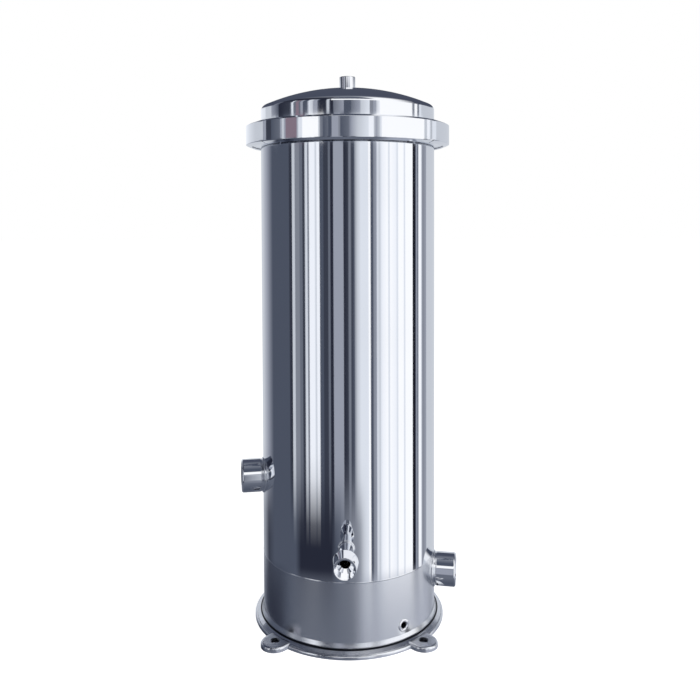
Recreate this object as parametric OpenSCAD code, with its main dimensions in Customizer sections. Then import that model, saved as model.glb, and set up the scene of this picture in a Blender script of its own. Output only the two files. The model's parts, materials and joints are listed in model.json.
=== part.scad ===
/* [Vessel] */
// Outside diameter of the shell, the skirt and the head
shell_d = 219; // [216:1:224]
// Wall of the shell, the skirt and both dished heads
wall = 3; // [2:0.5:4]
// Height of the seam between the skirt and the shell
seam_h = 84.5; // [80:0.5:110]
// Bevel on each side of the seam
seam_bevel = 0.6; // [0.2:0.1:1.5]
// Thickness of the tube sheet above the seam
sheet_t = 6; // [4:0.5:10]
// Height of the bottom head's straight part
bottom_straight = 42; // [40:1:44]
// Knuckle radius of both dished heads
knuckle_r = 6; // [4:0.5:12]
// Crown radius of both dished heads
crown_r = 262; // [240:1:320]
// Height of the head's straight part above the joint's middle plane
head_straight = 31.5; // [24:0.5:60]

/* [Base] */
// Distance that the base flange reaches past the skirt
base_reach = 11; // [8:0.5:16]
// Width of the flange's ledge inside the skirt
base_ledge = 8.5; // [4:0.5:16]
// Height at which the skirt stands on the flange
foot_h = 8; // [7:0.5:12]
// Height of the flange at its rounded rim
rim_h = 4.8; // [4:0.2:6]
// Height of the weld lip round the skirt's foot
lip_h = 4; // [2:0.5:6]
// Width of the weld lip round the skirt's foot
lip_w = 1.8; // [1:0.1:2.5]
// Width of the groove between the weld lip and the rim
groove_w = 0.9; // [0.5:0.1:1.5]
// Rounding of the rim and of the ears' edges
rim_round = 2.8; // [1:0.2:3.6]
// Distance of the anchor bolt holes past the flange's edge
ear_reach = 4; // [2:0.5:8]
// Radius of each ear
ear_r = 17; // [12:0.5:20]
// Thickness of each ear
ear_t = 6.2; // [4:0.2:7]
// Diameter of the anchor bolt holes
ear_hole_d = 12; // [8:0.5:14]
// Diameter of the skirt's weep hole
weep_d = 8; // [3:0.5:10]
// Height of the skirt's weep hole
weep_h = 24.2; // [20:0.5:40]
// Turn of the weep hole from the front
weep_turn = 36.2; // [20:0.5:60]

/* [Ports] */
// Height of the inlet's axis
inlet_h = 182; // [160:1:300]
// Height of the outlet's axis
outlet_h = 61.5; // [60:0.5:62.5]
// Turn of the inlet and outlet from the sides to the front
port_turn = 10; // [0:1:20]
// Outside diameter of the inlet and outlet sockets
port_d = 41; // [38:0.5:42]
// Bore of the inlet and outlet sockets
port_bore_d = 30.3; // [26:0.1:32]
// Bore of the inlet and outlet necks
port_pipe_d = 27.2; // [20:0.2:27.6]
// Distance from the shell to the end of each socket
port_reach = 27.5; // [22:0.5:60]
// Length of each socket's own barrel
port_barrel = 20; // [12:0.5:20.5]
// Depth of the neck's step under the socket
port_step = 0.9; // [0.4:0.1:1.5]
// Width of the weld cone round each neck
port_weld = 3.5; // [1:0.5:5]
// Length of each neck's plain collar under its socket
port_collar = 2.5; // [1:0.5:4]
// Chamfer of each socket's end
port_chamfer = 0.8; // [0.2:0.1:1.5]

/* [Drain] */
// Height of the drain's axis
drain_h = 125; // [115:1:140]
// Turn of the drain from the front to the left
drain_turn = 1.6; // [-5:0.1:5]
// Outside diameter of the drain's neck
drain_neck_d = 17; // [14:0.5:20]
// Bore of the drain's neck
drain_pipe_d = 12; // [8:0.5:12.5]
// Distance from the shell to the shoulder
drain_shoulder = 37.5; // [25:0.5:80]
// Length of the cone that leads to the shoulder
drain_flare = 7; // [4:0.5:12]
// Diameter at the shoulder
drain_shoulder_d = 29.8; // [26:0.2:34]
// Diameter at the mouth
drain_mouth_d = 25.6; // [24:0.2:30]
// Distance from the shoulder to the mouth
drain_barrel = 17; // [12:0.5:24]
// Bore of the drain's mouth
drain_bore_d = 19; // [16:0.2:20]
// Depth of the drain's wide bore
drain_depth = 15; // [8:0.5:20]
// Rounding of the drain's shoulder and mouth
drain_edge = 0.7; // [0.3:0.1:1.2]
// Width of the countersink in the drain's mouth
drain_lead = 0.8; // [0.5:0.1:2]
// Width of the weld cone at the foot of the drain's neck
drain_weld = 2; // [1:0.5:3]

/* [Vent] */
// Outside diameter of the vent socket
vent_d = 20; // [18:0.5:26]
// Bore of the vent socket
vent_bore_d = 11.6; // [8:0.2:13]
// Height of the vent socket above the crown
vent_reach = 16; // [10:0.5:30]
// Width of the weld cone at the foot of the vent socket
vent_weld = 2; // [0.5:0.5:4]
// Chamfer of the vent socket's end
vent_edge = 0.6; // [0.2:0.1:1]

/* [Cartridges] */
// Gap between the outer cartridges and the shell
cart_side = 6; // [4:0.5:9]
// Length of a cartridge with both of its gaskets
cart_len = 508; // [240:1:780]
// Gap between neighbouring cartridges
cart_gap = 6; // [4:0.5:7]
// Outside diameter of a cartridge's core tube
core_d = 30; // [28:0.5:34]
// Bore of a cartridge's core tube
core_bore_d = 26; // [24:0.5:27]
// Thickness of a cartridge's end gasket
end_seal_t = 2; // [1:0.5:4]
// Diameter of the seats under the cartridges and the cups over them
seat_d = 44; // [36:1:50]
// Thickness of the seats and the cups
seat_t = 3; // [2:0.5:5]
// Length of the spigots that enter the core tubes
spigot_l = 14; // [8:1:30]
// Wall of the seats' spigots
spigot_wall = 1.8; // [1:0.1:2.5]
// Clearance between a spigot and the core tube
spigot_gap = 0.4; // [0.3:0.1:1]

/* [Hold-down] */
// Diameter of the tie rods
rod_d = 8; // [6:0.5:10]
// Gap between the hold-down plate and the shell
plate_gap = 6.5; // [3:0.5:16]
// Thickness of the hold-down plate
plate_t = 4; // [3:0.5:8]
// Diameter of the plate's water holes
plate_hole_d = 26; // [12:1:30]
// Clearance round a tie rod in the plate
rod_gap = 0.4; // [0.3:0.1:1]
// Thickness of the cartridges' disc springs
spring_wire = 1; // [0.6:0.1:1.2]
// Outside diameter of the disc springs
spring_d = 34; // [28:1:40]
// Bore of the disc springs
spring_in_d = 16; // [12:1:20]
// Height of a stack of disc springs at rest
spring_h = 8; // [7:0.5:20]
// Disc springs in a stack
spring_folds = 4; // [2:1:4]
// Height of a tie rod nut
rod_nut_h = 6.5; // [4:0.5:9]
// Width across the flats of a tie rod nut
rod_nut_af = 13; // [12:0.5:17]
// Length of tie rod above its nut
rod_proud = 3; // [1:0.5:8]

/* [Clamp] */
// Distance that the clamp's web reaches past the shell
clamp_reach = 17.5; // [15.5:0.5:21]
// Wall of the clamp's web
clamp_web_t = 2.5; // [2:0.1:4]
// Half of the web's height
clamp_half = 12; // [11:0.5:15]
// Wall of the clamp's legs, measured upwards
clamp_leg_t = 2.6; // [2:0.1:3.5]
// Rise of the clamp's legs for each millimetre of radius
clamp_slope = 0.5; // [0.45:0.01:0.6]
// Distance of the legs' inner edges past the shell
tip_reach = 11; // [9:0.5:12]
// Clearance between the legs and the flanges, measured upwards
leg_gap = 0.4; // [0.3:0.05:0.8]
// Clearance between the web and the flanges
web_gap = 0.5; // [0.3:0.05:0.9]
// Height from the top of the shell to the joint's middle plane
flange_neck = 19.5; // [19:0.5:30]
// Height from the joint's middle plane to the hold-down plate
joint_drop = 3.5; // [0:0.5:10]
// Thickness of the cover seal
seal_t = 2; // [1:0.1:3]
// Gap between the cover seal and the head's flange
seal_gap = 0.3; // [0.2:0.05:0.5]
// Radial width of the cover seal
seal_w = 12; // [8:0.5:15]
// Distance of the cover seal from the bore
seal_inset = 2; // [1:0.5:4]
// Half of the front segment's arc
front_arc = 52; // [50:0.5:54]
// Gap between neighbouring segments, in degrees
segment_gap = 1; // [0.6:0.1:2]
// Arc from the back to the end of the two arms' retainers
arm_end = 20; // [19:0.5:24]
// Arc from the back to where the right arm leaves the ring
right_leave = 12.4; // [10:0.1:14]

/* [T-bolt] */
// Thickness of the spring strap
strap_t = 1.1; // [0.8:0.1:1.6]
// Half of the strap's height
strap_half = 11.4; // [10:0.1:12]
// Distance of each loop from the middle
loop_x = 24; // [22:0.5:28]
// Distance of the loops behind the clamp's web
loop_reach = 11; // [10.5:0.5:15]
// Radius of the barrels in the loops
barrel_r = 6.2; // [5.8:0.1:6.4]
// Running clearance of the barrels in the loops
barrel_gap = 0.06; // [0.02:0.01:0.1]
// Diameter of the T-bolt
bolt_d = 8; // [6:0.5:8.5]
// Clearance round the T-bolt in the trunnion
bolt_gap = 0.2; // [0.15:0.05:0.4]
// Radius of the trunnion's sleeve
sleeve_r = 5.6; // [5.2:0.1:5.8]
// Reach of the sleeve from the loop's middle
sleeve_l = 12; // [10:0.5:16]
// Half of the slots that the T-bolt swings in
slot_half = 6; // [5.9:0.1:7]
// Reach of those slots from the middle of each loop
slot_reach = 9; // [8:0.5:10]
// Height of the clamp nut
nut_h = 8; // [6:0.5:12]
// Width across the flats of the clamp nut
nut_af = 13; // [12:0.5:14]
// Running clearance of the T-bolt in the clamp nut
nut_gap = 0.08; // [0.02:0.01:0.1]
// Gap between the clamp nut and the sleeve
nut_seat = 0.3; // [0.1:0.05:0.5]
// Length of T-bolt past the nut
bolt_proud = 4; // [2:0.5:10]

/* [Hidden] */
$fn = 96;
eps = 0.01;
front = -90;
back = 90;
full_turn = 360;
shell_r = shell_d / 2;
bore_r = shell_r - wall;
base_r = shell_r + base_reach;
base_in_r = bore_r - base_ledge;
ear_ring = base_r + ear_reach;
cart_d = (bore_r - cart_side - cart_gap) / 1.5;
sheet_top = seam_h + sheet_t;
cart_z = sheet_top + seat_t;
cart_top = cart_z + cart_len;
plate_z = cart_top + seat_t + spring_h;
plate_top = plate_z + plate_t;
rod_top = plate_top + rod_nut_h + rod_proud;
joint_h = plate_z - joint_drop;
pitch = cart_d + cart_gap;
rod_ring = pitch / sqrt(3);
spigot_r = core_bore_d / 2 - spigot_gap;
web_r = shell_r + clamp_reach;
groove_r = web_r - clamp_web_t;
flange_r = groove_r - web_gap;
tip_r = shell_r + tip_reach;
lower_face = joint_h - (seal_t + seal_gap) / 2;
upper_face = joint_h + (seal_t + seal_gap) / 2;
head_z = joint_h + flange_neck;
crown_base = joint_h + head_straight;
crown_mid = crown_base - sqrt(pow(crown_r - knuckle_r, 2) - pow(shell_r - knuckle_r, 2));
crown_top = crown_mid + crown_r;
vent_top = crown_top + vent_reach;
port_step_r = port_d / 2 - port_step;
port_end = shell_r + port_reach;
loop_r = barrel_r + barrel_gap;
loop_mid_r = loop_r + strap_t / 2;
loop_y = web_r + loop_reach;
strap_mid_r = web_r + strap_t / 2;
strap_lap = 0.4 * strap_t;
bolt_x = loop_x + sleeve_l + nut_seat + nut_h + bolt_proud;
steel = [0.78, 0.79, 0.81];
bright = [0.86, 0.87, 0.89];
dull = [0.62, 0.64, 0.67];
wound = [0.93, 0.92, 0.88];
rubber = [0.12, 0.12, 0.13];
plastic = [0.85, 0.87, 0.86];

// Place of a cartridge: number 1 is in the middle and 2 to 7 stand round it.
function cart_at(n) = n == 1 ? [0, 0] : [pitch * cos(60 * n), pitch * sin(60 * n)];

// Place of a tie rod, in the pocket between the middle cartridge and two others.
function rod_at(n) = [rod_ring * cos(120 * n - 90), rod_ring * sin(120 * n - 90)];

// Height of the leg's outer face over the middle plane, at radius r.
function leg_out(r) = clamp_half + clamp_slope * (web_r - r);

// Height of the leg's inner face over the middle plane, at radius r.
function leg_in(r) = leg_out(r) - clamp_leg_t;

// Height of a flange's tapered back over the middle plane, at radius r.
function flange_back(r) = leg_in(max(r, tip_r)) - leg_gap;

// Outline of a dished head of radius r, filled, with its knuckle at height z.
module dish_outline(r, knuckle, crown, mid, z, straight) {
  reach = (r - knuckle) * crown / (crown - knuckle);
  translate([0, z - straight]) square([r, straight]);
  translate([r - knuckle, z]) circle(knuckle);
  intersection() {
    translate([0, mid]) circle(crown, $fn = 360);
    translate([0, z]) square([reach, crown]);
  }
}

// A dished head: one outline less the same outline drawn in by the wall.
module dished_head(r, z, straight) {
  mid = z - sqrt(pow(crown_r - knuckle_r, 2) - pow(r - knuckle_r, 2));
  rotate_extrude($fn = 180) difference() {
    dish_outline(r, knuckle_r, crown_r, mid, z, straight);
    dish_outline(r - wall, knuckle_r - wall, crown_r - wall, mid, z, straight + eps);
  }
}

// A plain tube between two heights.
module tube(r_out, r_in, z0, z1) {
  translate([0, 0, z0]) difference() {
    cylinder(r = r_out, h = z1 - z0, $fn = 180);
    translate([0, 0, -eps]) cylinder(r = r_in, h = z1 - z0 + 2 * eps, $fn = 180);
  }
}

// Points its child, drawn along +Z, out of the vessel at turn a and height z.
module outward(a, z) {
  translate([0, 0, z]) rotate([0, 0, a]) rotate([0, 90, 0]) children();
}

// A radial hole through the walls of the vessel.
module radial_hole(a, z, r) {
  outward(a, z) translate([0, 0, bore_r - 3 * wall]) cylinder(r = r, h = 6 * wall);
}

inlet_a = 180 + port_turn;
outlet_a = -port_turn;
drain_a = front - drain_turn;
weep_a = front + weep_turn;

// Base: a turned ring that falls to a rounded rim, and four ears with anchor
// holes. The same rounding runs round the rim and the ears.
module rounded_edge(r, h) {
  translate([r - rim_round, 0]) square([rim_round, h - rim_round]);
  intersection() {
    translate([r - rim_round, h - rim_round]) circle(rim_round);
    translate([r - rim_round, 0]) square([rim_round, h]);
  }
}

module base_profile() {
  top_r = shell_r + lip_w + groove_w;
  rim_r = base_r - rim_round;
  polygon([
    [base_in_r, 0], [rim_r, 0], [rim_r, rim_h], [top_r, foot_h], [base_in_r, foot_h]
  ]);
  rounded_edge(base_r, rim_h);
}

module ear() {
  translate([ear_ring, 0, 0]) rotate_extrude() {
    square([ear_r - rim_round, ear_t]);
    rounded_edge(ear_r, ear_t);
  }
  translate([shell_r, 0, 0]) rotate([90, 0, 90]) linear_extrude(ear_ring - shell_r) {
    translate([rim_round - ear_r, 0]) square([2 * (ear_r - rim_round), ear_t]);
    rounded_edge(ear_r, ear_t);
    mirror([1, 0]) rounded_edge(ear_r, ear_t);
  }
}

module base_flange() {
  color(steel) difference() {
    union() {
      rotate_extrude($fn = 180) base_profile();
      for (k = [0 : 3]) {
        rotate([0, 0, 45 + 90 * k]) ear();
      }
    }
    for (k = [0 : 3]) {
      rotate([0, 0, 45 + 90 * k]) translate([ear_ring, 0, -eps])
        cylinder(d = ear_hole_d, h = foot_h + 2 * eps);
    }
  }
}

// Skirt: a short tube that stands on the flange and reaches to the seam.
module base_skirt() {
  color(dull) difference() {
    rotate_extrude($fn = 180) polygon([
      [bore_r, foot_h], [shell_r + lip_w, foot_h], [shell_r + lip_w, foot_h + lip_h / 3],
      [shell_r + lip_w / 3, foot_h + lip_h], [shell_r, foot_h + lip_h + lip_w],
      [shell_r, seam_h - seam_bevel], [shell_r - seam_bevel, seam_h], [bore_r, seam_h]
    ]);
    radial_hole(outlet_a, outlet_h, port_pipe_d / 2);
    radial_hole(weep_a, weep_h, weep_d / 2);
  }
}

// Bottom head: the clean water's chamber, dished downwards inside the skirt.
module bottom_head() {
  color(steel) difference() {
    translate([0, 0, seam_h]) mirror([0, 0, 1]) dished_head(bore_r, bottom_straight, bottom_straight);
    radial_hole(outlet_a, outlet_h, port_pipe_d / 2);
  }
}

// Tube sheet: a disc with one hole under each cartridge.
module tube_sheet() {
  color(steel) difference() {
    translate([0, 0, seam_h]) cylinder(r = bore_r, h = sheet_t, $fn = 180);
    for (n = [1 : 7]) {
      translate([cart_at(n).x, cart_at(n).y, seam_h - eps])
        cylinder(r = spigot_r - spigot_wall, h = sheet_t + 2 * eps);
    }
  }
}

module shell() {
  top = joint_h - flange_neck;
  color(bright) difference() {
    rotate_extrude($fn = 180) polygon([
      [bore_r, seam_h], [shell_r - seam_bevel, seam_h], [shell_r, seam_h + seam_bevel],
      [shell_r, top], [bore_r, top]
    ]);
    radial_hole(inlet_a, inlet_h, port_pipe_d / 2);
    radial_hole(drain_a, drain_h, drain_pipe_d / 2);
  }
}

// Half of the V-shaped joint, drawn above the middle plane.
module joint_half(face) {
  rotate_extrude($fn = 180) polygon([
    [bore_r, face], [flange_r, face], [flange_r, flange_back(flange_r)],
    [tip_r, flange_back(tip_r)], [shell_r, flange_back(shell_r)],
    [shell_r, flange_neck], [bore_r, flange_neck]
  ]);
}

module shell_flange() {
  color(steel) translate([0, 0, joint_h]) mirror([0, 0, 1]) joint_half(joint_h - lower_face);
}

module head_flange() {
  color(steel) translate([0, 0, joint_h]) joint_half(upper_face - joint_h);
}

module cover_seal() {
  seal_in = bore_r + seal_inset;
  color(rubber) tube(seal_in + seal_w, seal_in, lower_face, lower_face + seal_t);
}

// A neck: a weld cone and a stepped collar, cut to sit on the shell's curve.
module port_neck(a, z) {
  cone_end = port_end - port_barrel - port_collar;
  color(steel) difference() {
    outward(a, z) rotate_extrude() polygon([
      [port_pipe_d / 2, bore_r], [port_step_r + port_weld, bore_r], [port_step_r, cone_end],
      [port_step_r, port_end - port_barrel], [port_pipe_d / 2, port_end - port_barrel]
    ]);
    translate([0, 0, z - 2 * port_d]) cylinder(r = shell_r, h = 4 * port_d, $fn = 180);
  }
}

// A socket: the barrel that the pipe screws into, chamfered in and out.
module port_socket(a, z) {
  start = port_end - port_barrel;
  color(bright) outward(a, z) rotate_extrude() polygon([
    [port_bore_d / 2, start], [port_d / 2 - port_chamfer, start], [port_d / 2, start + port_chamfer],
    [port_d / 2, port_end - port_chamfer], [port_d / 2 - port_chamfer, port_end],
    [port_bore_d / 2 + port_chamfer, port_end], [port_bore_d / 2, port_end - port_chamfer]
  ]);
}

module inlet_neck() {
  port_neck(inlet_a, inlet_h);
}

module inlet_socket() {
  port_socket(inlet_a, inlet_h);
}

module outlet_neck() {
  port_neck(outlet_a, outlet_h);
}

module outlet_socket() {
  port_socket(outlet_a, outlet_h);
}

// Drain: a thin neck at the front with a socket that flares at its shoulder.
drain_start = shell_r + drain_shoulder - drain_flare;
module drain_neck() {
  foot = shell_r - drain_weld;
  color(steel) difference() {
    outward(drain_a, drain_h) rotate_extrude() polygon([
      [drain_pipe_d / 2, foot], [drain_neck_d / 2 + drain_weld, foot],
      [drain_neck_d / 2, shell_r + drain_weld],
      [drain_neck_d / 2, drain_start], [drain_pipe_d / 2, drain_start]
    ]);
    translate([0, 0, drain_h - 2 * drain_neck_d])
      cylinder(r = shell_r, h = 4 * drain_neck_d, $fn = 180);
  }
}

module drain_socket() {
  mid = shell_r + drain_shoulder;
  mouth = mid + drain_barrel;
  color(bright) outward(drain_a, drain_h) rotate_extrude() polygon([
    [drain_pipe_d / 2, drain_start], [drain_neck_d / 2, drain_start],
    [drain_shoulder_d / 2 - drain_edge, mid - drain_edge], [drain_shoulder_d / 2, mid],
    [drain_mouth_d / 2, mouth - drain_edge], [drain_mouth_d / 2 - drain_edge, mouth],
    [drain_bore_d / 2 + drain_lead, mouth], [drain_bore_d / 2, mouth - drain_lead],
    [drain_bore_d / 2, mouth - drain_depth], [drain_pipe_d / 2, mouth - drain_depth]
  ]);
}

// Vent: a plain socket on the middle of the crown.
module vent_socket() {
  color(bright) rotate_extrude() difference() {
    polygon([
      [vent_bore_d / 2, crown_top - wall], [vent_d / 2 + vent_weld, crown_top - wall],
      [vent_d / 2 + vent_weld, crown_top], [vent_d / 2, crown_top + vent_weld],
      [vent_d / 2, vent_top - vent_edge], [vent_d / 2 - vent_edge, vent_top],
      [vent_bore_d / 2 + vent_edge, vent_top], [vent_bore_d / 2, vent_top - vent_edge]
    ]);
    translate([0, crown_mid]) circle(crown_r, $fn = 360);
  }
}

module head_dome() {
  color(bright) difference() {
    dished_head(shell_r, crown_base, crown_base - head_z);
    translate([0, 0, crown_top - 2 * wall]) cylinder(d = vent_bore_d, h = 4 * wall);
  }
}

// Cartridge parts: each is drawn once and put at the seven places.
module cartridge(n) {
  body_z = cart_z + end_seal_t;
  color(wound) translate([cart_at(n).x, cart_at(n).y, 0])
    tube(cart_d / 2, core_d / 2, body_z, body_z + cart_len - 2 * end_seal_t);
}

module core(n) {
  body_z = cart_z + end_seal_t;
  color(plastic) translate([cart_at(n).x, cart_at(n).y, 0])
    tube(core_d / 2, core_bore_d / 2, body_z, body_z + cart_len - 2 * end_seal_t);
}

module end_seals(z) {
  color(rubber) for (n = [1 : 7]) {
    translate([cart_at(n).x, cart_at(n).y, 0]) tube(seat_d / 2, core_bore_d / 2, z, z + end_seal_t);
  }
}

module cartridge_1() {
  cartridge(1);
}

module cartridge_2() {
  cartridge(2);
}

module cartridge_3() {
  cartridge(3);
}

module cartridge_4() {
  cartridge(4);
}

module cartridge_5() {
  cartridge(5);
}

module cartridge_6() {
  cartridge(6);
}

module cartridge_7() {
  cartridge(7);
}

module core_1() {
  core(1);
}

module core_2() {
  core(2);
}

module core_3() {
  core(3);
}

module core_4() {
  core(4);
}

module core_5() {
  core(5);
}

module core_6() {
  core(6);
}

module core_7() {
  core(7);
}

module lower_end_seals() {
  end_seals(cart_z);
}

module upper_end_seals() {
  end_seals(cart_top - end_seal_t);
}

// Seats: a flat ring with a short spigot that centres the cartridge.
module cartridge_seats() {
  color(steel) for (n = [1 : 7]) {
    translate([cart_at(n).x, cart_at(n).y, sheet_top]) rotate_extrude() polygon([
      [spigot_r - spigot_wall, 0], [seat_d / 2, 0], [seat_d / 2, seat_t], [spigot_r, seat_t],
      [spigot_r, seat_t + spigot_l], [spigot_r - spigot_wall, seat_t + spigot_l]
    ]);
  }
}

// Cups: each closes the top of a cartridge and carries its spring.
module spring_cups() {
  color(plastic) for (n = [1 : 7]) {
    translate([cart_at(n).x, cart_at(n).y, cart_top]) {
      cylinder(d = seat_d, h = seat_t);
      translate([0, 0, -spigot_l]) cylinder(r = spigot_r, h = spigot_l + eps);
    }
  }
}

// Springs: a stack of disc springs between each cup and the hold-down plate.
module cartridge_springs() {
  step = (spring_h - spring_wire) / spring_folds;
  color(dull) for (n = [1 : 7]) {
    translate([cart_at(n).x, cart_at(n).y, cart_top + seat_t]) rotate_extrude() {
      for (k = [0 : spring_folds - 1]) {
        near = (k % 2 == 0 ? spring_in_d : spring_d) / 2;
        far = (k % 2 == 0 ? spring_d : spring_in_d) / 2;
        polygon([
          [near, k * step], [far, (k + 1) * step],
          [far, (k + 1) * step + spring_wire], [near, k * step + spring_wire]
        ]);
      }
    }
  }
}

module tie_rod(n) {
  color(steel) translate([rod_at(n).x, rod_at(n).y, sheet_top])
    cylinder(d = rod_d, h = rod_top - sheet_top);
}

module tie_rod_1() {
  tie_rod(1);
}

module tie_rod_2() {
  tie_rod(2);
}

module tie_rod_3() {
  tie_rod(3);
}

module hold_down_plate() {
  color(steel) translate([0, 0, plate_z]) difference() {
    cylinder(r = bore_r - plate_gap, h = plate_t, $fn = 180);
    for (n = [1 : 3]) {
      translate([rod_at(n).x, rod_at(n).y, -eps]) {
        cylinder(r = rod_d / 2 + rod_gap, h = plate_t + 2 * eps);
      }
      rotate([0, 0, 60]) translate([rod_at(n).x, rod_at(n).y, -eps])
        cylinder(d = plate_hole_d / 2, h = plate_t + 2 * eps);
    }
    for (k = [0 : 5]) {
      rotate([0, 0, 30 + 60 * k]) translate([rod_ring * 2, 0, -eps])
        cylinder(d = plate_hole_d, h = plate_t + 2 * eps);
    }
  }
}

// A hexagon nut along +Z, from its width across the flats.
module hex_nut(af, h, r) {
  difference() {
    cylinder(r = af / sqrt(3), h = h, $fn = 6);
    translate([0, 0, -eps]) cylinder(r = r, h = h + 2 * eps);
  }
}

module tie_rod_nuts() {
  color(bright) for (n = [1 : 3]) {
    translate([rod_at(n).x, rod_at(n).y, plate_top]) hex_nut(rod_nut_af, rod_nut_h, rod_d / 2);
  }
}

// Clamp: a V-shaped channel in three segments, with a spring strap round it.
module retainer(from, to) {
  color(bright) translate([0, 0, joint_h]) rotate([0, 0, from])
    rotate_extrude(angle = to - from, $fn = 180) polygon([
      [tip_r, leg_out(tip_r)], [web_r, clamp_half], [web_r, -clamp_half], [tip_r, -leg_out(tip_r)],
      [tip_r, -leg_in(tip_r)], [groove_r, -leg_in(groove_r)],
      [groove_r, leg_in(groove_r)], [tip_r, leg_in(tip_r)]
    ]);
}

// Wedge of the plan between two turns, wide enough to hold the strap.
module sector(from, to) {
  polygon(concat([[0, 0]], [for (k = [0 : 4]) let (a = from + (to - from) * k / 4)
    2 * web_r * [cos(a), sin(a)]]));
}

// Plan of the strap's band between two turns.
module band_plan(from, to) {
  intersection() {
    difference() {
      circle(web_r + strap_t, $fn = 180);
      circle(web_r, $fn = 180);
    }
    sector(from, to);
  }
}

module front_retainer() {
  retainer(front - front_arc, front + front_arc);
}

module front_strap() {
  color(bright) translate([0, 0, joint_h - strap_half]) linear_extrude(2 * strap_half)
    band_plan(front - front_arc, front + front_arc);
}

module right_retainer() {
  retainer(front + front_arc + segment_gap, back - arm_end);
}

module left_retainer() {
  retainer(back + arm_end, front + full_turn - front_arc - segment_gap);
}

// An arm of the strap, drawn on the right: a band, a tangent plate and a loop
// with a slot. The plate leaves the band at turn b from the back. It meets the
// loop on its near side when side is 1 and on its far side when side is -1.
module strap_arm(b, side) {
  start = [strap_mid_r * sin(b), strap_mid_r * cos(b)];
  run = [loop_x - start.x, loop_y - start.y];
  reach = norm(run);
  turn = atan2(run.y, run.x) + side * asin(loop_mid_r / reach);
  difference() {
    translate([0, 0, -strap_half]) linear_extrude(2 * strap_half) {
      band_plan(front + front_arc + segment_gap, back - b);
      translate(start) rotate(turn) translate([-strap_lap, -strap_t / 2])
        square([sqrt(reach * reach - loop_mid_r * loop_mid_r) + strap_lap, strap_t]);
      translate([loop_x, loop_y]) circle(loop_r + strap_t);
    }
    translate([loop_x, loop_y, -strap_half - eps]) cylinder(r = loop_r, h = 2 * strap_half + 2 * eps);
    translate([loop_x - slot_reach, loop_y - slot_reach, -slot_half])
      cube([2 * slot_reach, 2 * slot_reach, 2 * slot_half]);
  }
}

module right_strap() {
  color(bright) translate([0, 0, joint_h]) strap_arm(right_leave, 1);
}

module left_strap() {
  color(bright) translate([0, 0, joint_h]) mirror([1, 0, 0]) strap_arm(arm_end, -1);
}

// T-bolt: its cross barrel turns in the left loop.
module t_bolt() {
  color(dull) translate([0, loop_y, joint_h]) {
    translate([-loop_x, 0, -strap_half]) cylinder(r = barrel_r, h = 2 * strap_half);
    translate([-loop_x, 0, 0]) rotate([0, 90, 0]) cylinder(d = bolt_d, h = bolt_x + loop_x);
  }
}

// Trunnion: its barrel turns in the right loop and its sleeve carries the nut.
module trunnion() {
  color(dull) translate([loop_x, loop_y, joint_h]) difference() {
    union() {
      translate([0, 0, -strap_half]) cylinder(r = barrel_r, h = 2 * strap_half);
      rotate([0, 90, 0]) cylinder(r = sleeve_r, h = sleeve_l);
    }
    translate([-2 * barrel_r, 0, 0]) rotate([0, 90, 0])
      cylinder(r = bolt_d / 2 + bolt_gap, h = 2 * barrel_r + sleeve_l + eps);
  }
}

module clamp_nut() {
  color(bright) translate([loop_x + sleeve_l + nut_seat, loop_y, joint_h]) rotate([0, 90, 0])
    hex_nut(nut_af, nut_h, bolt_d / 2 + nut_gap);
}

base_flange();
base_skirt();
bottom_head();
tube_sheet();
shell();
shell_flange();
inlet_neck();
inlet_socket();
outlet_neck();
outlet_socket();
drain_neck();
drain_socket();
cartridge_seats();
lower_end_seals();
upper_end_seals();
cartridge_1();
cartridge_2();
cartridge_3();
cartridge_4();
cartridge_5();
cartridge_6();
cartridge_7();
core_1();
core_2();
core_3();
core_4();
core_5();
core_6();
core_7();
spring_cups();
cartridge_springs();
tie_rod_1();
tie_rod_2();
tie_rod_3();
hold_down_plate();
tie_rod_nuts();
cover_seal();
head_flange();
head_dome();
vent_socket();
front_retainer();
front_strap();
left_retainer();
left_strap();
right_retainer();
right_strap();
t_bolt();
trunnion();
clamp_nut();
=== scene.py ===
# %% [markdown]
# # A cartridge filter housing in mirror-polished steel
#
# The housing is a tall vessel on an eared base. A domed head closes it, held by
# a V-shaped clamp ring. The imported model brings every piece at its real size.
# This script gives the pieces their finish, rounds their edges, and builds the
# studio that the polished steel mirrors.

# %% Load the frame
import json
import math

import bmesh
import bpy
from mathutils import Matrix, Vector

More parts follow.
